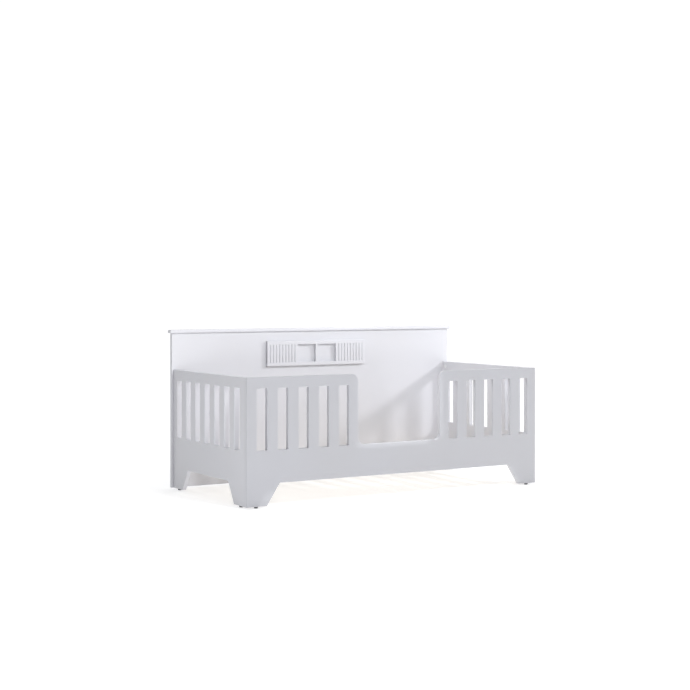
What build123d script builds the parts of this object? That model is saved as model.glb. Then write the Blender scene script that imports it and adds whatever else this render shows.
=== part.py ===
from build123d import *
import os

# Toddler bed for a 700 x 1400 mm mattress, made of lacquered boards on a slatted base.
# Millimetres. +X runs along the bed, -Y is the front with the entry, +Z is up.
# The origin is on the floor, in the middle of the bed's outline.

os.makedirs("parts", exist_ok=True)

# ---- Driving sizes ----
board = 18.0                # thickness of every panel
length = 1446.0             # over the outer faces of the two end panels
inner_depth = 708.0         # between the front panel and the back panel
foot_z = 6.0                # underside of the panels, held up by the glides
side_top = 526.0            # top of the guards and the end panels
back_top = 687.0            # top of the back panel, under its cap
rail_top = 230.0            # bottom of the entry and of every slot
top_rail = 45.0             # solid band over the slots
arch_z = 96.0               # underside of the rails between the feet
edge_r = 1.5                # eased edges of the boards

guard = 518.0               # length of each front guard
entry_r = 30.0              # corners of the entry
front_slots = 5             # slots in each front guard
front_slot_w = 46.0
front_stile = 46.0          # from a guard's ends to its outer slots
end_slots = 7               # slots in each end panel
end_slot_w = 50.0
end_front_stile = 44.0      # from the front panel to the first slot
end_rear_stile = 38.0       # from the last slot to the back panel
slot_r = 3.0                # corners of the slots

front_foot = 92.0           # width of a front foot at the bottom and at the arch
front_foot_top = 150.0
end_foot = 98.0             # the same on an end panel
end_foot_top = 153.0

back_overhang = 8.0         # back panel past the end panels
back_fixing_end = 60.0      # outer glides and cap dowels, from the back panel's ends
cap_h = 15.0                # rounded cap on the back panel
cap_end = 10.0              # cap past the back panel's ends, front and rear
cap_front = 8.0
cap_rear = 4.0
cap_r = 6.0

plaque_w = 516.0            # decorative plaque on the back panel
plaque_h = 115.0
plaque_t = 12.0
plaque_drop = 44.0          # from the cap down to the plaque
plaque_shift = -9.0
band_h = 82.0               # height of its windows and its flutes
window_w = 95.0
window_bar = 13.0           # bar between the two windows
flutes = 9                  # in each of its two fluted fields
flute_r = 3.0
flute_pitch = 15.8
flute_gap = 15.0            # from a window to the nearest flute

ledge = 25.0                # square ledges that carry the slats
ledge_over_arch = 5.0       # underside of the ledges, above the arches
ledge_end = 5.0             # from a ledge's end to the end panel
slats = 14
slat_w = 60.0
slat_t = 14.0
slat_end = 4.0              # from a slat's end to the front or the back panel
slat_field = 10.0           # from the outer slats to the end panels
slat_r = 3.0
strap_w = 25.0              # webbing under the slats
strap_t = 1.5
strap_y = 200.0             # each strap's distance from the middle of the base
staple = 0.8                # square wire of a staple
staple_w = 10.0
staple_leg = 8.0

cam_setback = 24.0          # cam centre from the end panel's edge
cam_bore_r = 7.5
cam_past_middle = 4.0       # cam's bore, past the middle of the board
cam_r = 7.3
cam_clearance = 0.5         # between a cam and the bottom of its bore
cam_over_foot = 54.0        # heights of the three cams in a corner
cam_under_rail = 30.0
cam_under_top = 23.0
bolt_thread_r = 2.5
bolt_thread = 11.0
bolt_shaft_r = 3.0
bolt_bore_r = 3.6           # bore in the end panel's edge, wide enough for the bolt's head
bolt_head_r = 3.5
bolt_neck_r = 2.0
cover_r = 9.0
cover_t = 1.0
fit = 0.1                   # clearance round screws, bolts and dowels
dowel_r = 4.0
dowel_in_face = 10.0
dowel_in_edge = 20.0
dowel_over_arch = 14.0      # heights of the two dowels in a corner
dowel_over_rail = 120.0

screw_r = 2.0
screw_head_r = 4.0
screw_head = 2.5
screw_bite = 11.0           # how far a screw goes into the second board
ledge_screws = 7
glide_r = 8.0
glide_pin_r = 1.5
glide_pin = 15.0

# ---- Places worked out from them ----
half = length / 2
total_depth = board + inner_depth + board + cap_rear
front_y = -total_depth / 2
front_inner = front_y + board
back_inner = front_inner + inner_depth
back_y = back_inner + board
middle_y = (front_inner + back_inner) / 2
slot_top = side_top - top_rail
slot_h = slot_top - rail_top
slot_z = (slot_top + rail_top) / 2
inner_half = half - board
front_slat_w = (guard - 2 * front_stile - front_slots * front_slot_w) / (front_slots - 1)
end_stiles = end_front_stile + end_rear_stile
end_slat_w = (inner_depth - end_stiles - end_slots * end_slot_w) / (end_slots - 1)
plaque_z = back_top - plaque_drop - plaque_h
ledge_z = arch_z + ledge_over_arch
slat_z = ledge_z + ledge
panel_mid_x = half - board / 2
cam_bore_depth = board / 2 + cam_past_middle
cam_t = cam_bore_depth - cam_clearance
cam_heights = (foot_z + cam_over_foot, rail_top - cam_under_rail, side_top - cam_under_top)
dowel_heights = (arch_z + dowel_over_arch, rail_top + dowel_over_rail)


def facing(y):
    """The upright plane at this y, with X to the right and Z up."""
    return Plane.XZ.offset(-y)


def save(piece, name):
    piece.part.label = name
    export_step(piece.part, f"parts/{name}.step")


def drill(plane, points, radius, depth):
    """Round holes of one size and depth, cut along the plane's normal from the part being built."""
    with BuildSketch(plane) as circles:
        with Locations(*points):
            Circle(radius)
    extrude(circles.sketch, amount=depth, mode=Mode.SUBTRACT)


def ease(piece, axis):
    """Rounds the outlines of a board's two broad faces."""
    for face in (piece.faces().sort_by(axis)[0], piece.faces().sort_by(axis)[-1]):
        fillet(face.edges(), radius=edge_r)


# Where the corner fittings sit, as (x, z) on the front and back panels.
cam_points = [(s * panel_mid_x, z) for s in (-1, 1) for z in cam_heights]
dowel_points = [(s * panel_mid_x, z) for s in (-1, 1) for z in dowel_heights]


def bore_corner_fittings(face_y, inward):
    """Blind holes in a long panel, from its inner face, for the cam bolts and the dowels."""
    drill(facing(face_y), cam_points, bolt_thread_r + fit, inward * (bolt_thread + fit))
    drill(facing(face_y), dowel_points, dowel_r + fit, inward * (dowel_in_face + fit))


# ---- Ledge screws: one row in each long panel ----
ledge_span = 2 * (inner_half - ledge_end)
ledge_pitch = ledge_span / ledge_screws
screw_row = [(-ledge_span / 2 + (i + 0.5) * ledge_pitch, ledge_z + ledge / 2) for i in range(ledge_screws)]


def bore_ledge_screws(face_y, inward):
    drill(facing(face_y), screw_row, screw_r + fit, inward * (screw_bite + fit))


# ---- Front panel: two slotted guards, the entry between them, and two tapered feet ----
def front_slot_centres():
    first = half - front_stile - front_slot_w / 2
    pitch = front_slot_w + front_slat_w
    return [s * (first - i * pitch) for s in (-1, 1) for i in range(front_slots)]


front_glides = [(s * (half - front_foot / 2), front_y + board / 2) for s in (-1, 1)]

with BuildPart() as front_panel:
    with BuildSketch(facing(front_y)):
        with BuildLine():
            Polyline(
                (-half, foot_z), (-half, side_top), (half, side_top), (half, foot_z),
                (half - front_foot, foot_z), (half - front_foot_top, arch_z),
                (front_foot_top - half, arch_z), (front_foot - half, foot_z), close=True,
            )
        make_face()
        entry_half = half - guard
        with Locations((0, side_top)):
            Rectangle(2 * entry_half, 2 * (side_top - rail_top), mode=Mode.SUBTRACT)
        corners = [v for v in vertices() if abs(abs(v.X) - entry_half) < 0.01]
        fillet(corners, radius=entry_r)
        with Locations(*[(x, slot_z) for x in front_slot_centres()]):
            RectangleRounded(front_slot_w, slot_h, slot_r, mode=Mode.SUBTRACT)
    extrude(amount=-board)
    ease(front_panel, Axis.Y)
    bore_corner_fittings(front_inner, 1)
    bore_ledge_screws(front_inner, 1)
    drill(Plane.XY.offset(foot_z), front_glides, glide_pin_r + fit, glide_pin + fit)
save(front_panel, "front_panel")

# ---- End panels: seven slots, two tapered feet, cams in the inner face ----
end_slot_pitch = end_slot_w + end_slat_w
end_slot_ys = [front_inner + end_front_stile + end_slot_w / 2 + i * end_slot_pitch for i in range(end_slots)]
cam_ys = (front_inner + cam_setback, back_inner - cam_setback)
end_glide_ys = (front_inner + end_foot / 2, back_inner - end_foot / 2)


def end_panel(side):
    outer = side * half
    inner = side * inner_half
    with BuildPart() as panel:
        with BuildSketch(Plane.YZ.offset(min(outer, inner))):
            with BuildLine():
                Polyline(
                    (front_inner, foot_z), (front_inner, side_top),
                    (back_inner, side_top), (back_inner, foot_z),
                    (back_inner - end_foot, foot_z), (back_inner - end_foot_top, arch_z),
                    (front_inner + end_foot_top, arch_z), (front_inner + end_foot, foot_z), close=True,
                )
            make_face()
            with Locations(*[(y, slot_z) for y in end_slot_ys]):
                RectangleRounded(end_slot_w, slot_h, slot_r, mode=Mode.SUBTRACT)
        extrude(amount=board)
        ease(panel, Axis.X)
        cam_places = [(y, z) for y in cam_ys for z in cam_heights]
        drill(Plane.YZ.offset(inner), cam_places, cam_bore_r, side * cam_bore_depth)
        bolt_places = [(side * panel_mid_x, z) for z in cam_heights]
        dowel_places = [(side * panel_mid_x, z) for z in dowel_heights]
        for edge_y, inward in ((front_inner, -1), (back_inner, 1)):
            drill(facing(edge_y), bolt_places, bolt_bore_r, inward * cam_setback)
            drill(facing(edge_y), dowel_places, dowel_r + fit, inward * (dowel_in_edge + fit))
        end_glides = [(side * panel_mid_x, y) for y in end_glide_ys]
        drill(Plane.XY.offset(foot_z), end_glides, glide_pin_r + fit, glide_pin + fit)
    return panel


save(end_panel(-1), "left_end_panel")
save(end_panel(1), "right_end_panel")

# ---- Back panel, with its cap and plaque ----
back_half = half + back_overhang
back_mid_y = back_inner + board / 2
back_glides = [(s * (back_half - back_fixing_end), back_mid_y) for s in (-1, 0, 1)]
cap_dowel_places = [(s * (back_half - back_fixing_end), back_mid_y) for s in (-1, -0.5, 0, 0.5, 1)]
plaque_mid_z = plaque_z + plaque_h / 2
plaque_screw_points = [
    (plaque_shift + sx * (window_w + window_bar / 2 + flute_gap / 2), plaque_mid_z + sz * band_h / 3)
    for sx in (-1, 1) for sz in (-1, 1)
]

with BuildPart() as back_panel:
    with BuildSketch(facing(back_inner)):
        with Locations((0, (foot_z + back_top) / 2)):
            Rectangle(2 * back_half, back_top - foot_z)
    extrude(amount=-board)
    ease(back_panel, Axis.Y)
    bore_corner_fittings(back_inner, -1)
    bore_ledge_screws(back_inner, -1)
    drill(facing(back_inner), plaque_screw_points, screw_r + fit, -board)
    drill(facing(back_y), plaque_screw_points, screw_head_r + fit, screw_head)
    drill(Plane.XY.offset(foot_z), back_glides, glide_pin_r + fit, glide_pin + fit)
    drill(Plane.XY.offset(back_top), cap_dowel_places, dowel_r + fit, -(dowel_in_edge + fit))
save(back_panel, "back_panel")

with BuildPart() as back_cap:
    with BuildSketch(Plane.XY.offset(back_top)):
        with Locations((0, (back_inner - cap_front + back_y + cap_rear) / 2)):
            Rectangle(2 * (back_half + cap_end), cap_front + board + cap_rear)
    extrude(amount=cap_h)
    fillet(back_cap.edges().filter_by(Axis.Z), radius=cap_r / 2)
    fillet(back_cap.faces().sort_by(Axis.Z)[-1].edges(), radius=cap_r)
    fillet(back_cap.faces().sort_by(Axis.Z)[0].edges(), radius=cap_r / 2)
    drill(Plane.XY.offset(back_top), cap_dowel_places, dowel_r + fit, dowel_in_face + fit)
save(back_cap, "back_cap")

window_xs = [plaque_shift + s * (window_w + window_bar) / 2 for s in (-1, 1)]
first_flute = window_w + window_bar / 2 + flute_gap
flute_xs = [plaque_shift + s * (first_flute + i * flute_pitch) for s in (-1, 1) for i in range(flutes)]
plaque_y = back_inner - plaque_t

with BuildPart() as back_plaque:
    with BuildSketch(facing(plaque_y)):
        with Locations((plaque_shift, plaque_mid_z)):
            Rectangle(plaque_w, plaque_h)
        with Locations(*[(x, plaque_mid_z) for x in window_xs]):
            Rectangle(window_w, band_h, mode=Mode.SUBTRACT)
    extrude(amount=-plaque_t)
    fillet(back_plaque.faces().sort_by(Axis.Y)[0].outer_wire().edges(), radius=edge_r)
    drill(Plane.XY.offset(plaque_mid_z - band_h / 2), [(x, plaque_y) for x in flute_xs], flute_r, band_h)
    drill(facing(back_inner), plaque_screw_points, screw_r + fit, screw_bite + fit)
save(back_plaque, "back_plaque")


# ---- Ledges ----
def ledge_bar(face_y, away):
    """A ledge on the panel face at face_y; away is +1 where the bar stands behind it, towards +Y."""
    with BuildPart() as bar:
        with BuildSketch(facing(face_y)):
            with Locations((0, ledge_z + ledge / 2)):
                Rectangle(ledge_span, ledge)
        extrude(amount=-away * ledge)
        fillet(bar.edges().filter_by(Axis.X), radius=edge_r)
        drill(facing(face_y), screw_row, screw_r + fit, -away * ledge)
        drill(facing(face_y + away * ledge), screw_row, screw_head_r + fit, away * screw_head)
    return bar


save(ledge_bar(front_inner, 1), "front_ledge")
save(ledge_bar(back_inner, -1), "back_ledge")

# ---- Slatted base: loose slats on two webbing straps, lying on the ledges ----
slat_pitch = (2 * (inner_half - slat_field) - slat_w) / (slats - 1)
slat_xs = [(i - (slats - 1) / 2) * slat_pitch for i in range(slats)]
strap_ys = (middle_y - strap_y, middle_y + strap_y)
staple_leg_offset = (staple_w - staple) / 2


def staple_legs(xs):
    return [(x, y + s * staple_leg_offset) for x in xs for y in strap_ys for s in (-1, 1)]


for number, slat_x in enumerate(slat_xs, start=1):
    with BuildPart() as slat:
        with BuildSketch(Plane.XY.offset(slat_z)):
            with Locations((slat_x, middle_y)):
                Rectangle(slat_w, inner_depth - 2 * slat_end)
        extrude(amount=slat_t)
        fillet(slat.edges().filter_by(Axis.Y), radius=slat_r)
        with BuildSketch(Plane.XY.offset(slat_z)):
            with Locations(*staple_legs([slat_x])):
                Rectangle(staple + fit, staple + fit)
        extrude(amount=staple_leg + fit, mode=Mode.SUBTRACT)
    save(slat, f"slat_{number:02d}")

strap_length = slat_xs[-1] - slat_xs[0] + slat_w
for name, y in zip(("front_strap", "back_strap"), strap_ys):
    with BuildPart() as strap:
        with BuildSketch(Plane.XY.offset(slat_z - strap_t)):
            with Locations((0, y)):
                Rectangle(strap_length, strap_w)
            with Locations(*[(x, y + s * staple_leg_offset) for x in slat_xs for s in (-1, 1)]):
                Rectangle(staple + fit, staple + fit, mode=Mode.SUBTRACT)
        extrude(amount=strap_t)
    save(strap, name)

with BuildPart() as strap_staples:
    with BuildSketch(Plane.XY.offset(slat_z - strap_t - staple)):
        with Locations(*[(x, y) for x in slat_xs for y in strap_ys]):
            Rectangle(staple, staple_w)
    extrude(amount=staple)
    with BuildSketch(Plane.XY.offset(slat_z - strap_t)):
        with Locations(*staple_legs(slat_xs)):
            Rectangle(staple, staple)
    extrude(amount=strap_t + staple_leg)
save(strap_staples, "strap_staples")

# ---- Corner fittings: cam bolts, cams, their covers, and wooden dowels ----
across = facing(middle_y)
shaft_length = cam_setback - cam_r
with BuildPart() as cam_bolts:
    with BuildSketch(facing(front_inner - bolt_thread)):
        with Locations(*cam_points):
            Circle(bolt_thread_r)
    extrude(amount=-bolt_thread)
    with BuildSketch(facing(front_inner)):
        with Locations(*cam_points):
            Circle(bolt_shaft_r)
    extrude(amount=-shaft_length)
    with BuildSketch(facing(front_inner + shaft_length)):
        with Locations(*cam_points):
            Circle(bolt_neck_r)
    extrude(amount=-(cam_r - bolt_head_r))
    with BuildSketch(facing(front_inner + cam_setback - bolt_head_r)):
        with Locations(*cam_points):
            Circle(bolt_head_r)
    extrude(amount=-(bolt_head_r - fit))
    mirror(about=across)
save(cam_bolts, "cam_bolts")

hook_start = board / 2 - bolt_head_r - fit
with BuildPart() as cams:
    for side in (-1, 1):
        with BuildSketch(Plane.YZ.offset(side * inner_half)):
            with Locations(*[(cam_ys[0], z) for z in cam_heights]):
                Circle(cam_r)
        extrude(amount=side * cam_t)
        with BuildSketch(Plane.YZ.offset(side * (inner_half + hook_start))):
            with Locations(*[(cam_ys[0] - cam_r / 2, z) for z in cam_heights]):
                Rectangle(cam_r, 2 * (bolt_head_r + fit))
        extrude(amount=side * (cam_t - hook_start), mode=Mode.SUBTRACT)
    mirror(about=across)
save(cams, "cams")

with BuildPart() as cam_covers:
    for side in (-1, 1):
        with BuildSketch(Plane.YZ.offset(side * inner_half)):
            with Locations(*[(y, z) for y in cam_ys for z in cam_heights]):
                Circle(cover_r)
        extrude(amount=-side * cover_t)
save(cam_covers, "cam_covers")

with BuildPart() as corner_dowels:
    with BuildSketch(facing(front_inner - dowel_in_face)):
        with Locations(*dowel_points):
            Circle(dowel_r)
    extrude(amount=-(dowel_in_face + dowel_in_edge))
    mirror(about=across)
save(corner_dowels, "corner_dowels")

with BuildPart() as cap_dowels:
    with BuildSketch(Plane.XY.offset(back_top - dowel_in_edge)):
        with Locations(*cap_dowel_places):
            Circle(dowel_r)
    extrude(amount=dowel_in_edge + dowel_in_face)
save(cap_dowels, "cap_dowels")


# ---- Screws: shank and a flat head, standing on the face at head_y and pointing along `into` ----
def screw_group(points, head_y, into, through):
    with BuildPart() as group:
        with BuildSketch(facing(head_y)):
            with Locations(*points):
                Circle(screw_head_r)
        extrude(amount=-into * screw_head)
        with BuildSketch(facing(head_y + into * screw_head)):
            with Locations(*points):
                Circle(screw_r)
        extrude(amount=-into * (through - screw_head + screw_bite))
    return group


save(screw_group(screw_row, front_inner + ledge, -1, ledge), "front_ledge_screws")
save(screw_group(screw_row, back_inner - ledge, 1, ledge), "back_ledge_screws")
save(screw_group(plaque_screw_points, back_y, -1, board), "plaque_screws")

# ---- Glides nailed under the feet and under the back panel ----
side_glides = [(s * panel_mid_x, y) for s in (-1, 1) for y in end_glide_ys]
glide_points = front_glides + side_glides + back_glides
with BuildPart() as glides:
    with BuildSketch(Plane.XY):
        with Locations(*glide_points):
            Circle(glide_r)
    extrude(amount=foot_z)
    fillet(glides.faces().group_by(Axis.Z)[0].edges(), radius=edge_r)
    with BuildSketch(Plane.XY.offset(foot_z)):
        with Locations(*glide_points):
            Circle(glide_pin_r)
    extrude(amount=glide_pin)
save(glides, "glides")
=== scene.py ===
# %% [markdown]
# # A toddler bed, finished in Blender
#
# The bed's boards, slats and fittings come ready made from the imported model, in metres, with +X along the
# bed, +Y to the back panel and +Z up. This lesson gives them their finishes and sets up a pale studio.
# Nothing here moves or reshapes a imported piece.

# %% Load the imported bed
import math
import bpy
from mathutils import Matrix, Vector

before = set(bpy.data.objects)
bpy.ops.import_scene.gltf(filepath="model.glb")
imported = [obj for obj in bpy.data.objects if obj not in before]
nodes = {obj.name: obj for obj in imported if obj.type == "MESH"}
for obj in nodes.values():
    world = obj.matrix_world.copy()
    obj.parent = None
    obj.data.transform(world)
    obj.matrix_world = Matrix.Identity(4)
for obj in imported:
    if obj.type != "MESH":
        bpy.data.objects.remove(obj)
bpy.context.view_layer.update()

# %% [markdown]
# ## Writing node maths as Python
#
# A finish is a small formula, and a web of nodes is hard to read. The class below wraps one socket, so that
# `a * b + 0.1` adds the Math nodes itself. Colours are mixed by their own method, because a Math node would
# turn them grey. Every other node comes from `Finish.node`, which takes its settings and its inputs.

# %% A socket that can be reckoned with
class Value:
    def __init__(self, finish, socket):
        self.finish = finish
        self.socket = socket

    def maths(self, operation, *others):
        return self.finish.node("ShaderNodeMath", {"operation": operation}, [self, *others])

    def __add__(self, other):
        return self.maths("ADD", other)

    def __sub__(self, other):
        return self.maths("SUBTRACT", other)

    def __rsub__(self, other):
        return self.finish.node("ShaderNodeMath", {"operation": "SUBTRACT"}, [other, self])

    def __mul__(self, other):
        return self.maths("MULTIPLY", other)

    __radd__ = __add__
    __rmul__ = __mul__

    def smooth(self, low, high):
        """0 below low, 1 above high, and a soft step between them."""
        settings = {"interpolation_type": "SMOOTHSTEP"}
        inputs = {"Value": self, "From Min": low, "From Max": high}
        return self.finish.node("ShaderNodeMapRange", settings, inputs)


# %% A material being built
class Finish:
    def __init__(self, name, roughness, metallic=0.0, **constants):
        self.material = bpy.data.materials.new(name)
        self.material.use_nodes = True
        self.tree = self.material.node_tree
        self.shader = self.tree.nodes["Principled BSDF"]
        self.shader.inputs["Roughness"].default_value = roughness
        self.shader.inputs["Metallic"].default_value = metallic
        for socket, number in constants.items():
            self.shader.inputs[socket.replace("_", " ")].default_value = number

    def feed(self, socket, value):
        """Links a socket if the value is one of ours, and otherwise sets it."""
        if isinstance(value, Value):
            self.tree.links.new(value.socket, socket)
        else:
            socket.default_value = value

    def node(self, kind, settings=None, inputs=(), output=0):
        node = self.tree.nodes.new(kind)
        for name, setting in (settings or {}).items():
            setattr(node, name, setting)
        pairs = inputs.items() if isinstance(inputs, dict) else enumerate(inputs)
        for key, value in pairs:
            self.feed(node.inputs[key], value)
        return Value(self, node.outputs[output])

    def outlet(self, value, name):
        """Another output of the node that a value came from."""
        return Value(self, value.socket.node.outputs[name])

    def place(self, scale=(1, 1, 1)):
        """Where a point is on the bed, in metres, stretched by scale."""
        point = self.node("ShaderNodeTexCoord", output="Object")
        return self.node("ShaderNodeMapping", None, {"Vector": point, "Scale": scale})

    def noise(self, where, scale, detail=3.0, roughness=0.55):
        inputs = {"Vector": where, "Scale": scale, "Detail": detail, "Roughness": roughness}
        return self.node("ShaderNodeTexNoise", None, inputs)

    def mix(self, share, first, second):
        settings = {"data_type": "RGBA"}
        inputs = {0: share, 6: as_colour(first), 7: as_colour(second)}
        return self.node("ShaderNodeMix", settings, inputs, output=2)

    def paint(self, colour):
        self.feed(self.shader.inputs["Base Color"], as_colour(colour))
        return self

    def shine(self, roughness):
        self.feed(self.shader.inputs["Roughness"], roughness)
        return self

    def relief(self, height, depth):
        """Bumps the surface by height, from 0 to 1, times a depth in metres."""
        bump = self.node("ShaderNodeBump", None, {"Strength": 1.0, "Distance": depth, "Height": height})
        self.tree.links.new(bump.socket, self.shader.inputs["Normal"])
        return self


def as_colour(colour):
    return colour if isinstance(colour, Value) else (*colour, 1.0)


def put(finish, *names):
    """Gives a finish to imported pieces, in every material slot that they have."""
    for name in names:
        for material_slot in nodes[name].material_slots:
            material_slot.material = finish.material
    print(finish.material.name, "on", len(names), "pieces")


# %% [markdown]
# ## White lacquer
#
# The boards are fibreboard under a sprayed satin lacquer. A sprayed film isn't perfectly flat: it has a
# fine ripple, like orange peel, and it drapes over faint waves in the board. Its colour is a cool white that
# drifts a little from place to place. It wears where people touch it. Shoes and brooms scuff the feet, so
# short marks gather near the floor, and hands and knees polish the low rail of the entry. An image could
# hold all of this, but noise stays sharp however close the camera comes.

# %% The sprayed film
LACQUER = (0.608, 0.613, 0.656)
LACQUER_WARM = (0.600, 0.602, 0.636)
LACQUER_SPECK = (0.565, 0.567, 0.600)
lacquer = Finish("white_lacquer", 0.42, Coat_Weight=0.25, Coat_Roughness=0.28, Specular_IOR_Level=0.45)
spot = lacquer.place()
drift = lacquer.noise(spot, 2.2, 2.0)
mottle = lacquer.noise(spot, 38.0, 4.0)
peel = lacquer.noise(spot, 520.0, 2.0, 0.4)
wave = lacquer.noise(spot, 26.0, 2.0)
film = lacquer.mix(drift.smooth(0.3, 0.7), LACQUER, LACQUER_WARM)
film = lacquer.mix(mottle.smooth(0.55, 0.8) * 0.08, film, LACQUER_SPECK)
print("film:", len(lacquer.tree.nodes), "nodes")

# %% Scuffs near the floor, and a polished entry rail
SCUFF_GREY = (0.36, 0.35, 0.35)
SCUFF_TOP = 0.11
RAIL_TOP = 0.230
parts = lacquer.node("ShaderNodeSeparateXYZ", None, [spot])
height = lacquer.outlet(parts, "Z")
across = lacquer.outlet(parts, "X").maths("ABSOLUTE")
streaks = lacquer.noise(lacquer.place((1.0, 1.0, 7.0)), 70.0, 5.0, 0.65)
near_floor = 1 - height.smooth(0.01, SCUFF_TOP)
scuffed = streaks.smooth(0.60, 0.70) * near_floor
at_rail = height.maths("COMPARE", RAIL_TOP, 0.006) * (1 - across.smooth(0.16, 0.24))
lacquer.paint(lacquer.mix(scuffed * 0.35, film, SCUFF_GREY))
lacquer.shine(0.38 + mottle * 0.10 + scuffed * 0.20 - at_rail * 0.14)
lacquer.relief(peel * 0.33 + wave * 0.62 - scuffed * 0.30, 0.00022)
boards = ["front_panel", "left_end_panel", "right_end_panel", "back_panel", "back_cap", "back_plaque"]
put(lacquer, *boards)

# %% [markdown]
# ## Bare wood for the slats and ledges
#
# Softwood shows long dark and light bands, because each year's growth is cut almost along its length. The
# bands are a noise drawn out along the grain and folded into stripes. Fine pores are a second, much finer
# noise, drawn out in the same way, and a third, slow one gives each board its own tone. The slats run across
# the bed and the ledges along it, so the same recipe is used with the grain turned. The dowels are a harder,
# browner wood from that recipe too.

# %% A recipe for sanded softwood
EARLY_WOOD = (0.80, 0.73, 0.63)
LATE_WOOD = (0.69, 0.59, 0.46)
PORE_BROWN = (0.42, 0.27, 0.15)
DOWEL_EARLY = (0.74, 0.55, 0.35)
DOWEL_LATE = (0.55, 0.36, 0.20)


def softwood(name, stretch, early=EARLY_WOOD, late=LATE_WOOD):
    """Grain that runs along the axis where stretch is smallest."""
    wood = Finish(name, 0.6, Specular_IOR_Level=0.35)
    along = wood.place(stretch)
    bands = wood.noise(along, 9.0, 2.0, 0.45)
    stripes = wood.node("ShaderNodeMath", {"operation": "PINGPONG"}, [bands * 9.0, 1.0])
    pores = wood.noise(along, 160.0, 3.0)
    board_tone = wood.noise(wood.place((6.0, 0.4, 6.0)), 3.0, 1.0)
    grain = wood.mix(stripes.smooth(0.35, 1.0) * 0.7, early, late)
    toned = wood.mix(board_tone.smooth(0.35, 0.7) * 0.3, grain, late)
    wood.paint(wood.mix(pores.smooth(0.58, 0.75) * 0.35, toned, PORE_BROWN))
    wood.shine(0.52 + pores * 0.2)
    return wood.relief(stripes * 0.4 + pores * 0.6, 0.0002)


slat_names = sorted(name for name in nodes if name.startswith("slat_"))
put(softwood("slat_wood", (1.0, 0.07, 1.0)), *slat_names)
put(softwood("ledge_wood", (0.07, 1.0, 1.0)), "front_ledge", "back_ledge")
dowel_wood = softwood("dowel_wood", (1.0, 0.2, 1.0), DOWEL_EARLY, DOWEL_LATE)
put(dowel_wood, "corner_dowels", "cap_dowels")

# %% [markdown]
# ## Woven webbing
#
# The slats roll up on two bands of polypropylene webbing. Warp threads run along the band and each weft
# thread ducks under them in turn. Two wave textures at right angles give the threads, and their product
# gives the knuckles where they cross. The knuckles keep the threads' white, and the colour darkens into the
# gaps between them: that darkening is painted shade in the hollows of the weave. That is a plain weave,
# simpler than the herringbone of much real webbing, but the threads are too fine for it to show. Patches of
# dust show its age.

# %% Webbing
# The darker grey below is painted shade for the gaps between the threads, not a thread colour.
WEAVE_GAP_PAINTED_SHADE = (0.36, 0.36, 0.37)
THREAD_WHITE = (0.66, 0.66, 0.66)
WEBBING_DUST = (0.45, 0.43, 0.39)
webbing = Finish("webbing", 0.75, Sheen_Weight=0.35, Sheen_Roughness=0.5, Specular_IOR_Level=0.3)
warp = webbing.node("ShaderNodeTexWave", {"bands_direction": "Y"}, {"Vector": webbing.place(), "Scale": 130.0})
weft = webbing.node("ShaderNodeTexWave", {"bands_direction": "X"}, {"Vector": webbing.place(), "Scale": 90.0})
knuckles = webbing.node("ShaderNodeMath", {"operation": "MULTIPLY"}, [warp, weft])
soiling = webbing.noise(webbing.place(), 24.0, 3.0)
# Painted shade: the colour darkens from the white knuckles into the gaps of the weave.
weave_with_painted_shade = webbing.mix(knuckles, WEAVE_GAP_PAINTED_SHADE, THREAD_WHITE)
webbing.paint(webbing.mix(soiling.smooth(0.45, 0.8) * 0.4, weave_with_painted_shade, WEBBING_DUST))
webbing.shine(0.6 + knuckles * 0.25)
webbing.relief(knuckles * 0.8 + soiling * 0.2, 0.0006)
put(webbing, "front_strap", "back_strap")

# %% [markdown]
# ## Zinc plated fittings
#
# Zinc plate is a bright grey metal with a soft crystalline bloom, never a mirror. A cell pattern breaks up
# its tone like that bloom. A fine noise breaks up its gloss, like the scuffs of the tumbling barrel.

# %% Zinc plate
ZINC_BRIGHT = (0.72, 0.73, 0.75)
ZINC_DULL = (0.58, 0.59, 0.60)
zinc = Finish("zinc_plate", 0.35, 1.0)
bloom = zinc.node("ShaderNodeTexVoronoi", {"feature": "F1"}, {"Vector": zinc.place(), "Scale": 900.0})
scuffs = zinc.noise(zinc.place(), 700.0, 4.0)
zinc.paint(zinc.mix(bloom.smooth(0.1, 0.7), ZINC_BRIGHT, ZINC_DULL))
zinc.shine(0.26 + scuffs * 0.24)
zinc.relief(scuffs, 0.00005)
screws = ["front_ledge_screws", "back_ledge_screws", "plaque_screws"]
put(zinc, "cam_bolts", "cams", "strap_staples", *screws)

# %% [markdown]
# ## Moulded plastic
#
# The cam covers and the glides are moulded in a spark-eroded tool, which leaves an even, dull grain. Both
# are scratched in use. A scratch is a little duller than a white cover and paler than a black glide.

# %% Plastic for the covers and the glides
def moulded(name, colour, worn, roughness):
    plastic = Finish(name, roughness, Specular_IOR_Level=0.4)
    grain = plastic.noise(plastic.place(), 1500.0, 2.0)
    scratches = plastic.noise(plastic.place((1.0, 1.0, 6.0)), 260.0, 4.0)
    plastic.paint(plastic.mix(scratches.smooth(0.55, 0.75) * 0.4, colour, worn))
    plastic.shine(roughness - 0.06 + grain * 0.12)
    return plastic.relief(grain, 0.00008)


COVER_WHITE = (0.70, 0.71, 0.73)
COVER_WORN = (0.62, 0.62, 0.64)
GLIDE_BLACK = (0.10, 0.10, 0.105)
GLIDE_WORN = (0.22, 0.22, 0.22)
put(moulded("cover_plastic", COVER_WHITE, COVER_WORN, 0.45), "cam_covers")
put(moulded("glide_plastic", GLIDE_BLACK, GLIDE_WORN, 0.55), "glides")

# %% [markdown]
# ## A pale studio
#
# The bed stands on a white floor that runs out to a white world, so no horizon shows from the camera's side.
# The paper glows, as a sweep lit from below does, and nearly washes out the bed's shadow on the floor. It is
# only mid grey, so that it doesn't throw too much light back up. The world is brightest to the bed's right
# and behind it, so the faces turned the other way are a shade greyer.

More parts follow.
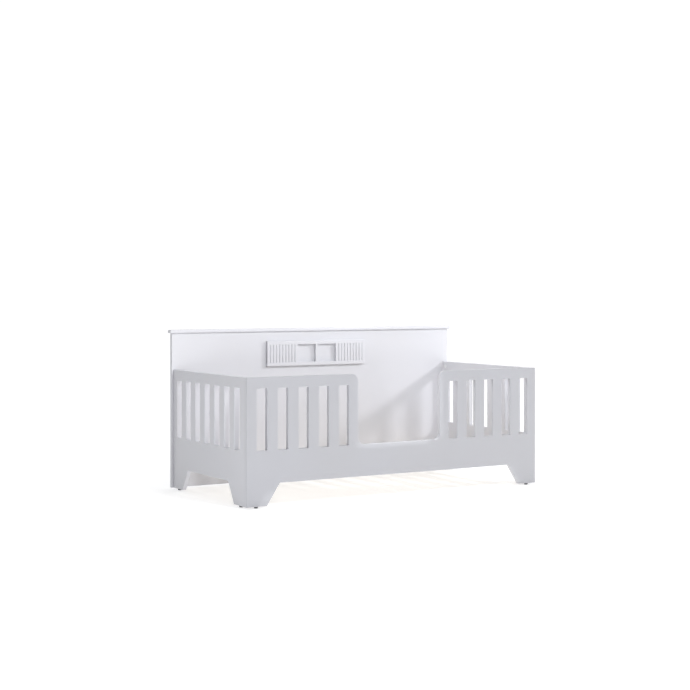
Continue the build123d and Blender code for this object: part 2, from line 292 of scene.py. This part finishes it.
# %% Floor
FLOOR_SIZE = 60.0
FLOOR_GLOW = 0.56
PAPER_GREY = (0.60, 0.60, 0.60)
GLOW_WHITE = (1.0, 1.0, 1.0)
floor_mesh = bpy.data.meshes.new("studio_floor")
floor_half = FLOOR_SIZE / 2
floor_corners = [(x * floor_half, y * floor_half, 0.0) for x, y in ((-1, -1), (1, -1), (1, 1), (-1, 1))]
floor_mesh.from_pydata(floor_corners, [], [(0, 1, 2, 3)])
floor = bpy.data.objects.new("studio_floor", floor_mesh)
bpy.context.scene.collection.objects.link(floor)
paper = Finish("studio_paper", 0.9, Specular_IOR_Level=0.1, Emission_Strength=FLOOR_GLOW)
paper.paint(PAPER_GREY)
paper.feed(paper.shader.inputs["Emission Color"], as_colour(GLOW_WHITE))
floor_mesh.materials.append(paper.material)
print("floor:", FLOOR_SIZE, "m across, glow", FLOOR_GLOW)

# %% World
WORLD_BRIGHT = 1.06
WORLD_DIM = 0.05
WORLD_BRIGHT_SIDE = (0.85, 0.42, 0.30)
WORLD_DIM_AT, WORLD_BRIGHT_AT = -0.6, 0.35
WORLD_TINT = (0.985, 0.99, 1.0)
world = bpy.data.worlds.new("studio")
world.use_nodes = True
world_nodes = world.node_tree.nodes
world_links = world.node_tree.links
direction = world_nodes.new("ShaderNodeTexCoord")
facing_side = world_nodes.new("ShaderNodeVectorMath")
facing_side.operation = "DOT_PRODUCT"
facing_side.inputs[1].default_value = WORLD_BRIGHT_SIDE
ramp = world_nodes.new("ShaderNodeMapRange")
ramp.inputs["From Min"].default_value = WORLD_DIM_AT
ramp.inputs["From Max"].default_value = WORLD_BRIGHT_AT
ramp.inputs["To Min"].default_value = WORLD_DIM
ramp.inputs["To Max"].default_value = WORLD_BRIGHT
world_links.new(direction.outputs["Generated"], facing_side.inputs[0])
world_links.new(facing_side.outputs["Value"], ramp.inputs["Value"])
world_links.new(ramp.outputs["Result"], world_nodes["Background"].inputs["Strength"])
world_nodes["Background"].inputs["Color"].default_value = as_colour(WORLD_TINT)
bpy.context.scene.world = world
print("world: from", WORLD_DIM, "to", WORLD_BRIGHT)

# %% [markdown]
# ## Lamps
#
# One soft lamp, far off to the right and a little in front, throws the end panel's shadow across the back
# panel. A second one, high in front, fills the inside of the bed. Two weak lamps finish the job. One above
# the left end lights the inner face of the right end. One by the front left corner reaches into the slots
# of the left end, and lets its outer face fade towards the back.

# %% Lamps
def soft_lamp(name, at, aim, size, watts, beam=180.0):
    light = bpy.data.lights.new(name, "AREA")
    light.shape = "SQUARE"
    light.size = size
    light.energy = watts
    light.spread = math.radians(beam)
    lamp = bpy.data.objects.new(name, light)
    lamp.location = at
    lamp.rotation_euler = (Vector(aim) - Vector(at)).to_track_quat("-Z", "Y").to_euler()
    lamp.visible_camera = False
    bpy.context.scene.collection.objects.link(lamp)
    print(name, "at", at, "with", watts, "W")


soft_lamp("key_lamp", (4.75, -2.13, 2.89), (0.0, 0.3, 0.40), size=0.65, watts=160.0)
soft_lamp("inside_lamp", (0.05, -4.0, 3.2), (0.05, 0.35, 0.40), size=0.9, watts=100.0)
soft_lamp("end_lamp", (-0.66, 0.12, 1.5), (0.75, -0.1, 0.25), size=0.3, watts=1.25, beam=50.0)
soft_lamp("corner_lamp", (-1.12, -1.6, 0.45), (-0.72, 0.0, 0.33), size=0.3, watts=7.0)

# %% [markdown]
# ## A flag in front of the bed
#
# A flag is the black board that a studio stands in a lamp's way. This one stands just in front of the bed
# and keeps the two big lamps off the front faces, which stay a shade greyer than the back. It is taller and
# wider than the front panel, but has the same arch and entry, so light still comes in there. Its entry is
# cut narrower than the panel's, because light slants past the edge and would reach the board behind. The
# camera and the diffuse light don't see it: it only casts a shadow.

# %% The flag, with the front panel's arch and entry
FLAG_BLACK = (0.01, 0.01, 0.01)
FLAG_Y = -0.395
FLAG_LEFT, FLAG_RIGHT, FLAG_TOP = -0.733, 0.82, 0.56
ENTRY_LEFT, ENTRY_RIGHT, ENTRY_BOTTOM = -0.148, 0.198, 0.246
ARCH_FOOT, ARCH_SHOULDER, ARCH_TOP = 0.631, 0.573, 0.096
flag_corners = [
    (FLAG_LEFT, 0.0), (FLAG_LEFT, FLAG_TOP), (ENTRY_LEFT, FLAG_TOP), (ENTRY_LEFT, ENTRY_BOTTOM),
    (ENTRY_RIGHT, ENTRY_BOTTOM), (ENTRY_RIGHT, FLAG_TOP), (FLAG_RIGHT, FLAG_TOP), (FLAG_RIGHT, 0.0),
    (ARCH_FOOT, 0.0), (ARCH_SHOULDER, ARCH_TOP), (-ARCH_SHOULDER, ARCH_TOP), (-ARCH_FOOT, 0.0),
]
flag_mesh = bpy.data.meshes.new("front_flag")
flag_mesh.from_pydata([(x, FLAG_Y, z) for x, z in flag_corners], [], [tuple(range(len(flag_corners)))])
black = Finish("flag_black", 0.9)
black.paint(FLAG_BLACK)
flag_mesh.materials.append(black.material)
flag = bpy.data.objects.new("front_flag", flag_mesh)
bpy.context.scene.collection.objects.link(flag)
flag.visible_camera = False
flag.visible_diffuse = False
flag.visible_glossy = False
print("flag:", len(flag_corners), "corners, at y", FLAG_Y)

# %% [markdown]
# ## The camera
#
# It stands off to the left of the bed's front, at a little above the height of the back panel, and it is
# level, so upright edges stay upright. A lens shift, as on a view camera, sets the bed in the picture
# without tilting it.

# %% Camera
CAMERA_AT = (-3.3483, -5.7162, 0.8738)
CAMERA_TURN = 0.5728
CAMERA_LENS = 77.18
CAMERA_SHIFT = (-0.1072, -0.0785)
SENSOR_WIDTH = 36.0
camera_data = bpy.data.cameras.new("camera")
camera_data.lens = CAMERA_LENS
camera_data.sensor_width = SENSOR_WIDTH
camera_data.shift_x, camera_data.shift_y = CAMERA_SHIFT
camera = bpy.data.objects.new("camera", camera_data)
camera.location = CAMERA_AT
camera.rotation_euler = (math.pi / 2, 0.0, -CAMERA_TURN)
bpy.context.scene.collection.objects.link(camera)
bpy.context.scene.camera = camera
bpy.context.scene.view_settings.view_transform = "Standard"
bpy.context.scene.view_settings.exposure = 0.0
print("camera at", CAMERA_AT, "with a lens of", CAMERA_LENS, "mm")
